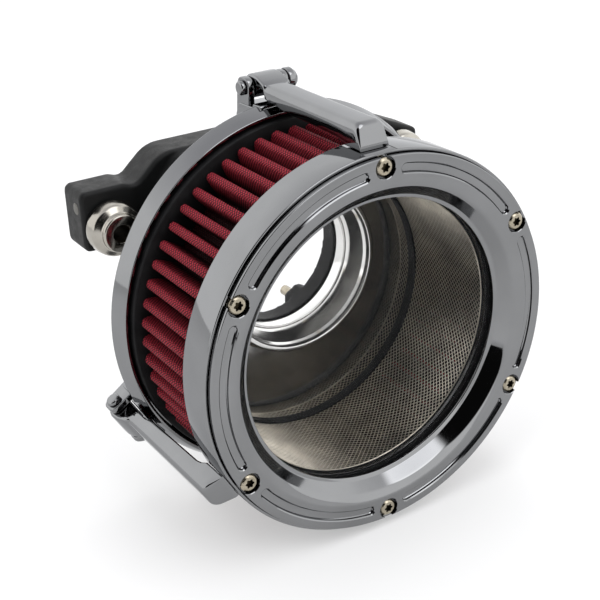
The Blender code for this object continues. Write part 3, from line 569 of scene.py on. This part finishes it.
gauze_tone.color_ramp.elements[1].position = 0.6
gauze_tone.color_ramp.elements[1].color = (0.34, 0.018, 0.034, 1.0)
join(gauze_red, weave.outputs["Value"], gauze_tone.inputs["Fac"])
# The weave colour is scaled by fold height, from 1.0 on the crests down to 0.06 in the valleys: painted shade
# in the pleat folds.
fold_height = node(gauze_red, "Attribute", attribute_name="height")
fold_painted_shade = node(gauze_red, "MapRange")
fold_painted_shade.inputs["From Min"].default_value = 3.0
fold_painted_shade.inputs["From Max"].default_value = 12.6
fold_painted_shade.inputs["To Min"].default_value = 0.06
fold_painted_shade.inputs["To Max"].default_value = 1.0
painted_shade_colour = node(gauze_red, "VectorMath", operation="SCALE")
join(gauze_red, fold_height.outputs["Fac"], fold_painted_shade.inputs["Value"])
join(gauze_red, gauze_tone.outputs["Color"], painted_shade_colour.inputs[0])
join(gauze_red, fold_painted_shade.outputs["Result"], painted_shade_colour.inputs["Scale"])
join(gauze_red, painted_shade_colour.outputs["Vector"], gauze_shader.inputs["Base Color"])
gauze_bump = node(gauze_red, "Bump", Strength=0.8, Distance=0.0003)
join(gauze_red, weave.outputs["Value"], gauze_bump.inputs["Height"])
join(gauze_red, gauze_bump.outputs["Normal"], gauze_shader.inputs["Normal"])
gauze_shader.inputs["Specular IOR Level"].default_value = 0.2

FOLD_TOP = 1.95
FOLD_FOOT = 2.35
half_pitch = math.pi * media_radius / PLEAT_COUNT
fold_outline = rounded([
    (-half_pitch, 0.0, 0.0), (-FOLD_FOOT, 0.0, 1.2), (-FOLD_TOP, PLEAT_DEPTH, 1.9),
    (FOLD_TOP, PLEAT_DEPTH, 1.9), (FOLD_FOOT, 0.0, 1.2), (half_pitch, 0.0, 0.0),
])[:-1]
valley = media_radius - PLEAT_DEPTH
TIP_ROWS = ((0.0, 0.62), (0.5, 0.80), (1.4, 0.93), (3.0, 1.0))
media_length = media_front - media_rear
fold_rows = list(TIP_ROWS) + [(media_length - reach, share) for reach, share in reversed(TIP_ROWS)]

gauze_shape = bmesh.new()
bmesh.ops.create_circle(gauze_shape, segments=PLEAT_COUNT * len(fold_outline), radius=media_radius * MM)
along = gauze_shape.verts.layers.float.new("along")
height_of = gauze_shape.verts.layers.float.new("height")
corners = sorted(gauze_shape.verts, key=lambda v: math.atan2(v.co.y, v.co.x))
travelled = 0.0
last_place = None
for number, corner in enumerate(corners):
    pleat, step = divmod(number, len(fold_outline))
    sideways, depth = fold_outline[step]
    angle = math.pi / 2.0 + (2.0 * half_pitch * pleat + sideways) / media_radius
    corner[height_of] = depth
    reach = (valley + depth) * MM
    corner.co = (reach * math.cos(angle), 0.0, reach * math.sin(angle))
    if last_place is not None:
        travelled += (corner.co - last_place).length
    corner[along] = travelled
    last_place = corner.co.copy()


def set_row(corners, forward, share):
    """Put one row of the gauze at its distance forward, its folds at a share of their height."""
    for corner in corners:
        outward = Vector((corner.co.x, 0.0, corner.co.z)).normalized()
        corner.co = outward * (valley + corner[height_of] * share) * MM
        corner.co.y = -(media_rear + forward) * MM


set_row(corners, *fold_rows[0])
edge_ring = list(gauze_shape.edges)
for forward, share in fold_rows[1:]:
    grown = bmesh.ops.extrude_edge_only(gauze_shape, edges=edge_ring)["geom"]
    edge_ring = [part for part in grown if isinstance(part, bmesh.types.BMEdge)]
    set_row([part for part in grown if isinstance(part, bmesh.types.BMVert)], forward, share)
bmesh.ops.recalc_face_normals(gauze_shape, faces=gauze_shape.faces)
bmesh.ops.solidify(gauze_shape, geom=gauze_shape.faces[:], thickness=0.8 * MM)
weave_map = gauze_shape.loops.layers.uv.new("weave")
for face in gauze_shape.faces:
    spots = [loop.vert[along] for loop in face.loops]
    wraps = max(spots) - min(spots) > travelled / 2.0
    for loop, spot in zip(face.loops, spots):
        if wraps and spot < travelled / 2.0:
            spot += travelled
        loop[weave_map].uv = (spot, -loop.vert.co.y)
bmesh.ops.translate(gauze_shape, verts=gauze_shape.verts, vec=filter_axis)
finished("pleated_gauze", gauze_shape, gauze_red, "housing", "red_gauze", "filter_media", crease=80.0)

rubber_ring("rear_cap", "filter_cap_rear", ring_of("filter_screen")[2] + SEAM, filter_axis, edge=0.9)
rubber_ring("front_cap", "filter_cap_front", ring_of("filter_screen")[2] + SEAM, filter_axis, edge=0.9)

# ---- Inner screen and its band ----
# A tube of fine expanded steel mesh that keeps the pleats apart from inside, with one dark
# rubber band round it.
screen_steel, screen_shader = new_finish("screen_steel", 1.0, 0.42)
mottled(screen_steel, screen_shader, 60.0, (0.42, 0.385, 0.33), (0.70, 0.65, 0.55))
smudged(screen_steel, screen_shader, 200.0, 0.34, 0.52)
STRANDS_ROUND = 156
STRAND_ROWS = 27
STRAND = 0.56
screen_rear, screen_front, screen_radius = ring_of("filter_screen")
screen_shape = bmesh.new()
bmesh.ops.create_circle(screen_shape, segments=STRANDS_ROUND, radius=(screen_radius - STRAND / 2.0) * MM)
to_front = Matrix.Translation((0.0, -screen_rear * MM, 0.0)) @ Matrix.Rotation(math.radians(90.0), 4, "X")
bmesh.ops.transform(screen_shape, matrix=to_front, verts=screen_shape.verts)
edge_ring = list(screen_shape.edges)
row_height = (screen_front - screen_rear) * MM / STRAND_ROWS
for row in range(STRAND_ROWS):
    grown = bmesh.ops.extrude_edge_only(screen_shape, edges=edge_ring)["geom"]
    edge_ring = [part for part in grown if isinstance(part, bmesh.types.BMEdge)]
    moved = [part for part in grown if isinstance(part, bmesh.types.BMVert)]
    bmesh.ops.translate(screen_shape, verts=moved, vec=(0.0, -row_height, 0.0))
squares = [edge for edge in screen_shape.edges if not edge.is_boundary]
bmesh.ops.poke(screen_shape, faces=screen_shape.faces[:])
bmesh.ops.dissolve_edges(screen_shape, edges=squares, use_verts=False)
bmesh.ops.wireframe(screen_shape, faces=screen_shape.faces[:], thickness=STRAND * MM, offset=0.0,
                    use_replace=True, use_boundary=True, use_even_offset=False)
bmesh.ops.translate(screen_shape, verts=screen_shape.verts, vec=filter_axis)
finished("mesh_screen", screen_shape, screen_steel, "housing", "screen_steel", "filter_screen")
rubber_ring("dark_band", "screen_band", ring_of("screen_band")[2] - 0.9, filter_axis, edge=0.3)

# ---- Backplate ----
# A chromed disc with a tapered rim round the element, a collar for the throttle screws, and
# three pairs of lugs on bases cast onto the rim.
bell_metal, bell_shader = new_finish("polished_bell", 1.0, 0.15)
mottled(bell_metal, bell_shader, 60.0, (0.68, 0.675, 0.66), (0.78, 0.775, 0.76))
smudged(bell_metal, bell_shader, 120.0, 0.10, 0.20)
grained(bell_metal, bell_shader, 70.0, 0.00002, 1.0)
plate_rear = bezel_front - 80.1
plate_front = ring_of("filter_cap_rear")[0] - SEAM
rim_front = plate_front + 4.4
rim_inner = cap_radius + 0.8
RIM_REAR = 88.0
plate_shape = spun(rounded([
    (cover_radius, rim_front, 0.5), (RIM_REAR, plate_rear + 1.0, 0.5), (RIM_REAR - 1.0, plate_rear, 0.4),
    (10.0, plate_rear, 0.2), (10.0, plate_front, 0.2), (rim_inner, plate_front, 0.8),
    (rim_inner, rim_front - 0.8, 0.3), (rim_inner + 0.8, rim_front, 0.3),
]), filter_axis)
INNER_FACE = 66.0
THROAT = 31.8
STACK_SEAT = 42.6
COLLAR = 45.0
hub_front = ring_of("support_bracket")[1]
collar_rear = hub_front + SEAM
collar_front = plate_rear + 1.1
throat_tool = spun([(0.0, 0.0), (STACK_SEAT - 4.0, 0.0), (STACK_SEAT - 4.0, bezel_front),
                    (0.0, bezel_front)], throat_axis, 120, closed=False)
plate_shape = carved(plate_shape, throat_tool)
for face in plate_shape.faces:
    spot = face.calc_center_median()
    near = (spot - filter_axis).xz.length < INNER_FACE * MM
    inner_side = -spot.y > (plate_rear + 0.5) * MM
    face.material_index = 1 if near and inner_side else 0
collar_shape = spun(rounded([
    (COLLAR, collar_front, 0.3), (COLLAR, collar_rear, 0.6), (THROAT + 0.6, collar_rear, 0.4),
    (THROAT + 0.6, collar_front, 0.2),
]), throat_axis, 144)
for face in collar_shape.faces:
    face.material_index = 1
plate_shape = added(plate_shape, collar_shape)
LUG_INNER = 7.2
LUG_OUTER = 10.4
EYE = 4.4
ear_back = pin_forward - plate_rear + 19.0
ear_front = pin_forward - plate_rear - 2.5


def softened(shape, width, segments=3, angle=30.0):
    """Round every edge of a solid that is sharper than the angle."""
    sharp = [edge for edge in shape.edges if edge.calc_face_angle(0.0) > math.radians(angle)]
    bmesh.ops.bevel(shape, geom=sharp, offset=width * MM, offset_type="OFFSET", segments=segments,
                    profile=0.5, affect="EDGES", clamp_overlap=True, material=-1)
    return shape


def slot_turned(shape):
    """Turn a slot drawn as (across, backward) and raised outward into the ear's own drawing axes."""
    swap = Matrix(((0, 1, 0, 0), (0, 0, 1, 0), (1, 0, 0, 0), (0, 0, 0, 1)))
    bmesh.ops.transform(shape, matrix=swap, verts=shape.verts)
    bmesh.ops.recalc_face_normals(shape, faces=shape.faces)
    return shape


for latch in LATCHES:
    base = softened(prism(rounded([
        (ear_front - 2.0, -17.0, 0.0), (ear_back, -17.0, 3.0),
        (ear_back - 5.0, -7.4, 2.0), (ear_front + 5.0, -7.0, 1.0), (ear_front + 4.0, -5.2, 0.8),
        (ear_front - 2.0, -5.2, 1.0),
    ], 3), -LUG_OUTER - 0.5, LUG_OUTER + 0.5), 0.6)
    slot = prism(rounded([(-9.4, ear_front + 0.2, 0.7), (-4.5, ear_front + 0.2, 0.7),
                          (-4.5, ear_front + 1.8, 0.7), (-9.4, ear_front + 1.8, 0.7)]), -6.6, -4.0)
    base = carved(base, slot_turned(slot))
    bmesh.ops.transform(base, matrix=latch_place(latch) @ ACROSS, verts=base.verts)
    plate_shape = added(plate_shape, base)
    for side in (-1.0, 1.0):
        low_side, high_side = sorted((side * LUG_INNER, side * LUG_OUTER))
        lug = softened(prism(rounded([
            (-EYE + 1.0, -16.0, 0.5), (ear_back - 1.5, -16.0, 0.5), (EYE + 1.5, -2.0, 6.0),
            (EYE, EYE, 3.6), (-EYE, EYE, 3.6),
        ], 5), low_side, high_side), 0.5)
        bmesh.ops.transform(lug, matrix=latch_place(latch) @ ACROSS, verts=lug.verts)
        plate_shape = added(plate_shape, lug)
plate = finished("back_plate", plate_shape, chrome, "housing", "chrome", "backplate")
plate.data.materials.append(bell_metal)

# ---- Bell mouth ----
# A spun trumpet with a rolled lip, polished and pressed into the backplate round the throat.
stack_rear, stack_front = ring_of("velocity_stack")[:2]
lip_radius = 40.0
ROLL = 1.7
STACK_BORE = THROAT + 1.4
bell_shape = spun(rounded([
    (lip_radius - ROLL, stack_front, 1.6), (lip_radius, stack_front, 1.6),
    (lip_radius, stack_front - 2.2 * ROLL, 1.6), (lip_radius - 1.6, stack_front - 2.4 * ROLL, 0.6),
    (lip_radius - 1.6, plate_front + 2.2, 1.0), (STACK_SEAT - SEAM, plate_front + 1.2, 0.4),
    (STACK_SEAT - SEAM, stack_rear, 0.3), (STACK_BORE, stack_rear, 0.3),
    (STACK_BORE + 0.8, plate_front, 4.0), (lip_radius - 3.4, stack_front - 2.4 * ROLL, 1.0),
    (lip_radius - 2.4 * ROLL + 1.0, stack_front - 1.2 * ROLL, 0.6),
    (lip_radius - 2.0 * ROLL + 0.8, stack_front, 1.4),
], 5), throat_axis)
finished("bell_mouth", bell_shape, bell_metal, "housing", "chrome", "velocity_stack")

# ---- Support bracket ----
# A matt black casting: an arch with a bolt block at each end, a hub that sockets onto the
# throttle body, and three screw bosses inside.
casting, casting_shader = new_finish("black_casting", 0.0, 0.5)
mottled(casting, casting_shader, 90.0, (0.003, 0.0032, 0.0034), (0.006, 0.0062, 0.0064))
smudged(casting, casting_shader, 250.0, 0.42, 0.60)
casting_shader.inputs["Specular IOR Level"].default_value = 0.22
grained(casting, casting_shader, 2200.0, 0.00008, 4.0)
block_end = -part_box("support_bracket")[0].x / MM
arch_depth = 18.0
HUB_REAR = 8.0
HUB = 46.0
SOCKET = 41.0
BOSS = 7.0
COLLAR_SCREW_CIRCLE = 38.0
BOLT_WAY = 6.65
left_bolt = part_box("breather_bolt_left")
bolt_x = -(left_bolt[0].x + left_bolt[1].x) / 2.0 / MM
bolt_z = (left_bolt[0].z + left_bolt[1].z) / 2.0 / MM
FORWARD = Matrix.Rotation(math.radians(90.0), 4, "X")


def cast(outline, low, high, edge, steps=6):
    """A block of the casting, drawn as (x, z) and raised forward, with rounded edges."""
    shape = softened(prism(rounded(outline, steps), low, high), edge, 3, 50.0)
    bmesh.ops.transform(shape, matrix=FORWARD, verts=shape.verts)
    return shape


bracket_shape = cast([
    (-block_end, 20.5, 3.0), (-block_end, 47.5, 3.0), (-68.0, 47.5, 3.0), (-62.5, 45.6, 6.0),
    (-49.0, 57.5, 16.0), (43.0, 57.5, 14.0), (60.5, 42.5, 5.0), (70.0, 48.5, 3.0),
    (block_end, 40.5, 3.0), (block_end, 20.5, 3.0), (63.0, 19.6, 6.0), (50.0, 4.0, 8.0),
    (-50.0, 4.0, 8.0), (-63.0, 20.0, 6.0),
], 0.0, arch_depth, 1.3)
saddle = cast([
    (-60.0, 34.0, 8.0), (-42.0, 56.5, 12.0), (42.0, 56.5, 12.0), (60.0, 34.0, 8.0),
    (36.0, -30.0, 12.0), (-36.0, -30.0, 12.0),
], arch_depth - 4.0, hub_front, 3.0)
SCALLOP = 14.5
for side in (-1.0, 1.0):
    bolt_axis = Vector((side * bolt_x * MM, 0.0, bolt_z * MM))
    scallop = spun([(0.0, arch_depth), (SCALLOP, arch_depth), (SCALLOP + 2.0, hub_front + 2.0),
                    (0.0, hub_front + 2.0)], bolt_axis, 64, closed=False)
    saddle = carved(saddle, scallop)
bracket_shape = carved(bracket_shape, saddle, "UNION")
hub = spun(rounded([
    (0.0, HUB_REAR, 0.0), (HUB, HUB_REAR, 1.0), (HUB, hub_front - 0.1, 1.0), (0.0, hub_front - 0.1, 0.0),
]), throat_axis, 96, closed=False)
bracket_shape = carved(bracket_shape, hub, "UNION")
socket = spun([(0.0, -5.0), (SOCKET, -5.0), (SOCKET, arch_depth), (0.0, arch_depth)],
              throat_axis, 96, closed=False)
bracket_shape = carved(bracket_shape, socket)
THROTTLE_ANGLES = (60.0, 180.0, 300.0)
for degrees in THROTTLE_ANGLES:
    x, z = around(COLLAR_SCREW_CIRCLE, math.radians(degrees), throat_axis)
    boss = spun([(0.0, arch_depth - 6.0), (BOSS, arch_depth - 6.0), (BOSS, hub_front - 1.0),
                 (0.0, hub_front - 1.0)], Vector((x * MM, 0.0, z * MM)), 32, closed=False)
    bracket_shape = carved(bracket_shape, boss, "UNION")
bore = spun([(0.0, 0.0), (THROAT, 0.0), (THROAT, bezel_front), (0.0, bezel_front)],
            throat_axis, 96, closed=False)
bracket_shape = carved(bracket_shape, bore)
block = as_object("casting_blank", bracket_shape)
skin = block.modifiers.new("skin", "REMESH")
skin.mode = "VOXEL"
skin.voxel_size = 0.75 * MM
fettle = block.modifiers.new("fettle", "SMOOTH")
fettle.factor = 0.5
fettle.iterations = 4
bracket_shape = settled(block)
for side in (-1.0, 1.0):
    bolt_axis = Vector((side * bolt_x * MM, 0.0, bolt_z * MM))
    way = spun([(0.0, -5.0), (BOLT_WAY, -5.0), (BOLT_WAY, hub_front), (0.0, hub_front)],
               bolt_axis, 32, closed=False)
    bracket_shape = carved(bracket_shape, way)
finished("bracket_casting", bracket_shape, casting, "housing", "black_casting", "support_bracket",
         crease=60.0)

# ---- Breather bolts, washers and passage plugs ----
# Hollow nickel-plated bolts that hold the bracket to the heads, each on a sealing washer.
# The drilled passages in the block ends are closed with steel plugs.
nickel, nickel_shader = new_finish("bright_nickel", 1.0, 0.1)
mottled(nickel, nickel_shader, 120.0, (0.31, 0.295, 0.262), (0.39, 0.372, 0.335))
smudged(nickel, nickel_shader, 260.0, 0.12, 0.24)
grained(nickel, nickel_shader, 120.0, 0.00002, 1.0)
BREATHER_BORE = 4.0
plug_steel, plug_shader = new_finish("dull_plug_steel", 1.0, 0.5)
mottled(plug_steel, plug_shader, 600.0, (0.10, 0.098, 0.09), (0.17, 0.165, 0.15))
smudged(plug_steel, plug_shader, 900.0, 0.42, 0.6)
for name in ("left", "right"):
    rear, front, flange = ring_of("breather_bolt_" + name)
    low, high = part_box("breather_bolt_" + name)
    bolt_axis = Vector(((low.x + high.x) / 2.0, 0.0, (low.z + high.z) / 2.0))
    flange_rear = ring_of("breather_washer_" + name)[1] + 0.1
    shape = spun(rounded([
        (BREATHER_BORE, front, 0.4), (8.3, front, 0.9), (8.5, front - 2.6, 1.6),
        (flange - 0.6, front - 4.6, 2.6), (flange, flange_rear + 1.6, 1.6), (flange, flange_rear, 0.6),
        (6.35, flange_rear, 0.2), (6.35, rear + 1.0, 0.2), (5.35, rear, 0.2), (BREATHER_BORE, rear, 0.2),
    ], 6), bolt_axis, 96)
    # Faces down the bolt's bore take the second finish, which is painted shade.
    for face in shape.faces:
        spot = face.calc_center_median()
        inside = (spot - bolt_axis).xz.length < (BREATHER_BORE + 0.2) * MM
        face.material_index = 1 if inside and -spot.y < (front - 0.6) * MM else 0
    bolt = finished("bolt_" + name, shape, nickel, "housing", "nickel", "breather_bolt_" + name)
    bolt.data.materials.append(recess_painted_shade)
    rubber_ring("washer_" + name, "breather_washer_" + name, 6.8, bolt_axis, edge=0.3)
    low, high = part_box("passage_plug_" + name)
    side = -1.0 if name == "left" else 1.0
    plug = spun(rounded([(0.0, 0.0, 0.0), (2.7, 0.0, 0.3), (2.7, (high.x - low.x) / MM, 0.5),
                         (0.0, (high.x - low.x) / MM, 0.0)]), throat_axis, 32, closed=False)
    swing = Matrix.Rotation(side * math.radians(90.0), 4, "Z")
    inner_end = low.x if side > 0.0 else high.x
    place = Matrix.Translation((inner_end, (low.y + high.y) / 2.0, (low.z + high.z) / 2.0))
    bmesh.ops.transform(plug, matrix=place @ swing, verts=plug.verts)
    finished("plug_" + name, plug, plug_steel, "housing", "screw_steel", "passage_plug_" + name)

# ---- Collar screws ----
# Three long socket-head screws that go through the collar and the hub's bosses into the
# throttle body.
for number in range(len(THROTTLE_ANGLES)):
    name = "throttle_screw_%d" % (number + 1)
    rear, front, radius = ring_of(name)
    low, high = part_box(name)
    screw_axis = Vector(((low.x + high.x) / 2.0, 0.0, (low.z + high.z) / 2.0))
    shape = spun(rounded([
        (0.0, rear, 0.0), (1.9, rear, 0.2), (2.5, rear + 0.6, 0.2), (2.5, front - 3.3, 0.1),
        (radius, front - 3.3, 0.2), (radius, front, 0.4), (1.8, front, 0.1), (1.8, front - 2.1, 0.1),
        (0.0, front - 2.1, 0.0),
    ], 3), screw_axis, 36, closed=False)
    finished("collar_screw_%d" % (number + 1), shape, screw_steel, "housing", "screw_steel", name)

# ---- Latch arms ----
# Three chromed bars with crowned backs. Each swings on its pin, and its nose comes down onto
# the seat on the cover, where a lip under it hooks into a slot.
ARM_HALF = 6.75
SEAT_LEVEL = SEAT_RING + SEAM
ARM_TOP = 95.4
NOSE_TIP = bezel_front - 7.6
CROWN = 3.5
nose_line = rounded([
    (97.0, ARM_TOP, 0.0), (103.1, ARM_TOP, 3.4), (NOSE_TIP - 0.1, 86.9, 1.6),
    (NOSE_TIP, SEAT_LEVEL + 0.5, 0.0),
], 6)
nose = [(forward, SEAT_LEVEL, top, min(CROWN, 0.4 * (top - SEAT_LEVEL)))
        for forward, top in reversed(nose_line)]
ARM_STATIONS = nose + [
    (96.4, SEAT_LEVEL, ARM_TOP, CROWN), (93.6, SEAT_LEVEL, ARM_TOP, CROWN), (91.0, 86.3, ARM_TOP, CROWN),
    (88.0, 86.9, ARM_TOP, CROWN), (70.0, 87.2, ARM_TOP, CROWN), (50.0, 87.6, ARM_TOP, CROWN),
    (43.5, 88.9, ARM_TOP, CROWN), (38.0, 88.9, ARM_TOP, CROWN), (35.6, 89.4, ARM_TOP, CROWN),
    (35.0, 91.4, ARM_TOP, 1.6), (34.4, 93.2, 95.9, 1.0), (32.0, 93.6, 96.8, 1.0), (28.8, 91.6, 98.0, 1.2),
    (26.6, 88.8, 98.3, 1.4), (24.0, 87.6, 98.4, 1.4), (21.4, 88.8, 97.8, 1.4), (19.4, 90.6, 96.2, 1.2),
    (18.7, 92.0, 94.6, 0.9),
]


def arm_section(forward, bottom, top, corner):
    """One cross-section of an arm in its latch frame, flat below and crowned above."""
    outline = rounded([
        (-ARM_HALF, bottom, 0.7), (ARM_HALF, bottom, 0.7), (ARM_HALF, top, corner), (-ARM_HALF, top, corner),
    ], 5)
    return [Vector((x * MM, (pin_forward - forward) * MM, (z - PIN_RING) * MM)) for x, z in outline]


for latch in LATCHES:
    arm = lofted([arm_section(*station) for station in ARM_STATIONS])
    hook = softened(prism([
        (pin_forward - HOOK_MIDDLE - 1.6, SEAT_LEVEL - PIN_RING - HOOK_DEPTH),
        (pin_forward - HOOK_MIDDLE + 1.6, SEAT_LEVEL - PIN_RING - HOOK_DEPTH),
        (pin_forward - HOOK_MIDDLE + 1.6, SEAT_LEVEL - PIN_RING + 2.0),
        (pin_forward - HOOK_MIDDLE - 1.6, SEAT_LEVEL - PIN_RING + 2.0),
    ], -ARM_HALF + 0.2, ARM_HALF - 0.2), 0.3)
    bmesh.ops.transform(hook, matrix=ACROSS, verts=hook.verts)
    arm = added(arm, hook)
    bmesh.ops.transform(arm, matrix=latch_place(latch), verts=arm.verts)
    finished("arm_" + latch, arm, chrome, "latch_" + latch, "chrome", "latch_arm_" + latch)

# ---- Hinge pins and nuts ----
# Each pin passes through both lugs and the arm's eye, with a low round head on one side and
# a domed nut on the other.
PIN_HEAD = 3.2
PIN_TURNS = {"top": -90.0, "lower_left": 90.0, "lower_right": -90.0}
NUT_RADIUS = 5.0
for latch in LATCHES:
    to_latch = latch_place(latch) @ Matrix.Rotation(math.radians(PIN_TURNS[latch]), 4, "Z")
    pin = spun(rounded([
        (0.0, -LUG_OUTER - 3.5, 0.0), (2.0, -LUG_OUTER - 3.5, 0.2), (2.0, LUG_OUTER + SEAM, 0.1),
        (PIN_HEAD, LUG_OUTER + SEAM, 0.3), (PIN_HEAD, LUG_OUTER + SEAM + 2.2, 1.2),
        (0.0, LUG_OUTER + SEAM + 2.2, 0.0),
    ], 4), throat_axis, 40, closed=False)
    nut = spun(rounded([
        (0.0, -LUG_OUTER - 5.9, 0.0), (2.0, -LUG_OUTER - 6.0, 0.8), (NUT_RADIUS - 1.6, -LUG_OUTER - 5.0, 1.5),
        (NUT_RADIUS, -LUG_OUTER - 3.0, 0.8), (NUT_RADIUS, -LUG_OUTER - SEAM, 0.4),
        (2.1, -LUG_OUTER - SEAM, 0.1),
        (2.1, -LUG_OUTER - 3.8, 0.1), (0.0, -LUG_OUTER - 3.8, 0.0),
    ], 4), throat_axis, 40, closed=False)
    for name, source, shape in (("pin_", "hinge_pin_", pin), ("nut_", "hinge_nut_", nut)):
        bmesh.ops.transform(shape, matrix=to_latch, verts=shape.verts)
        finished(name + latch, shape, chrome, "housing", "chrome", source + latch)
